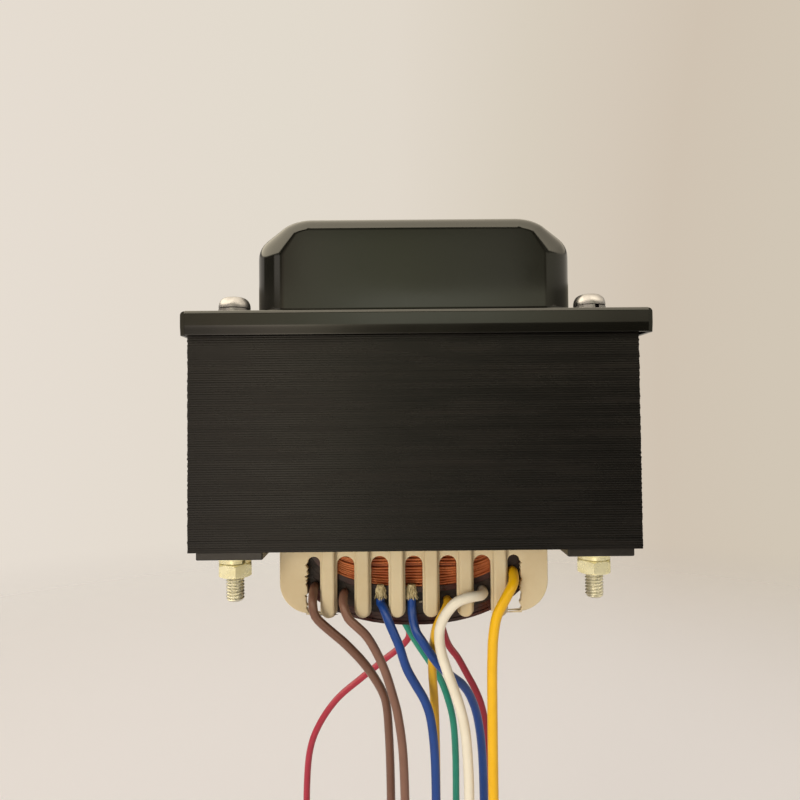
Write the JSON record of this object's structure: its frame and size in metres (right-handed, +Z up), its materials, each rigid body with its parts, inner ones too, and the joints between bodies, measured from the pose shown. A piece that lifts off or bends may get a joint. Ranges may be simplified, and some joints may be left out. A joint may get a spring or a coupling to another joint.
{
  "type": "laminated chassis transformer",
  "caption": "Laminated chassis transformer with a black end bell on top, a comb bobbin with copper coil below and coloured flying leads.",
  "frame": {"origin": "centre of the four stud positions, level with the lower faces of the nuts", "axes": "+Z up towards the end bell, X along the long side of the core, -Y towards the front yoke"},
  "size_m": [0.1001, 0.0842, 0.237],
  "materials": {
    "black_enamel": "glossy baked black enamel",
    "silicon_steel": "varnished silicon steel sheet, fine horizontal edges",
    "nylon": "ivory nylon, satin",
    "enamelled_copper": "enamelled copper wire, glossy",
    "brown_insulation": "dark varnished insulation tape",
    "red_brown_wrap": "dark red-brown wrap, satin",
    "braided_sleeve": "braided glass sleeve",
    "zinc_steel": "bright zinc",
    "yellow_zinc": "yellow passivated zinc",
    "brown_insulated_wire": "brown wire insulation, satin",
    "blue_insulated_wire": "blue wire insulation, satin",
    "green_insulated_wire": "green wire insulation, satin",
    "red_insulated_wire": "red wire insulation, satin",
    "yellow_insulated_wire": "yellow wire insulation, satin",
    "white_insulated_wire": "white wire insulation, satin",
    "tinned_copper": "tinned strands"
  },
  "bodies": {
    "root": {"end_bell": "black_enamel", "e_laminations": "silicon_steel", "i_laminations": "silicon_steel", "bobbin": "nylon", "inner_winding": "enamelled_copper", "interwinding_insulation": "brown_insulation", "outer_winding": "enamelled_copper", "margin_tape": "brown_insulation", "outer_wrap": "red_brown_wrap", "winding_tails": "enamelled_copper", "joint_sleeves": "braided_sleeve", "core_bolts": "zinc_steel", "head_flat_washers": "zinc_steel", "head_spring_washers": "zinc_steel", "clamp_rail_left": "black_enamel", "clamp_rail_right": "black_enamel", "nut_flat_washers": "yellow_zinc", "nut_spring_washers": "yellow_zinc", "nuts": "yellow_zinc", "lead_brown_a": "brown_insulated_wire", "lead_brown_b": "brown_insulated_wire", "lead_blue_a": "blue_insulated_wire", "lead_blue_b": "blue_insulated_wire", "lead_green": "green_insulated_wire", "lead_red_a": "red_insulated_wire", "lead_yellow_a": "yellow_insulated_wire", "lead_white": "white_insulated_wire", "lead_red_b": "red_insulated_wire", "lead_yellow_b": "yellow_insulated_wire", "tinned_tips": "tinned_copper"}
  },
  "joints": []
}
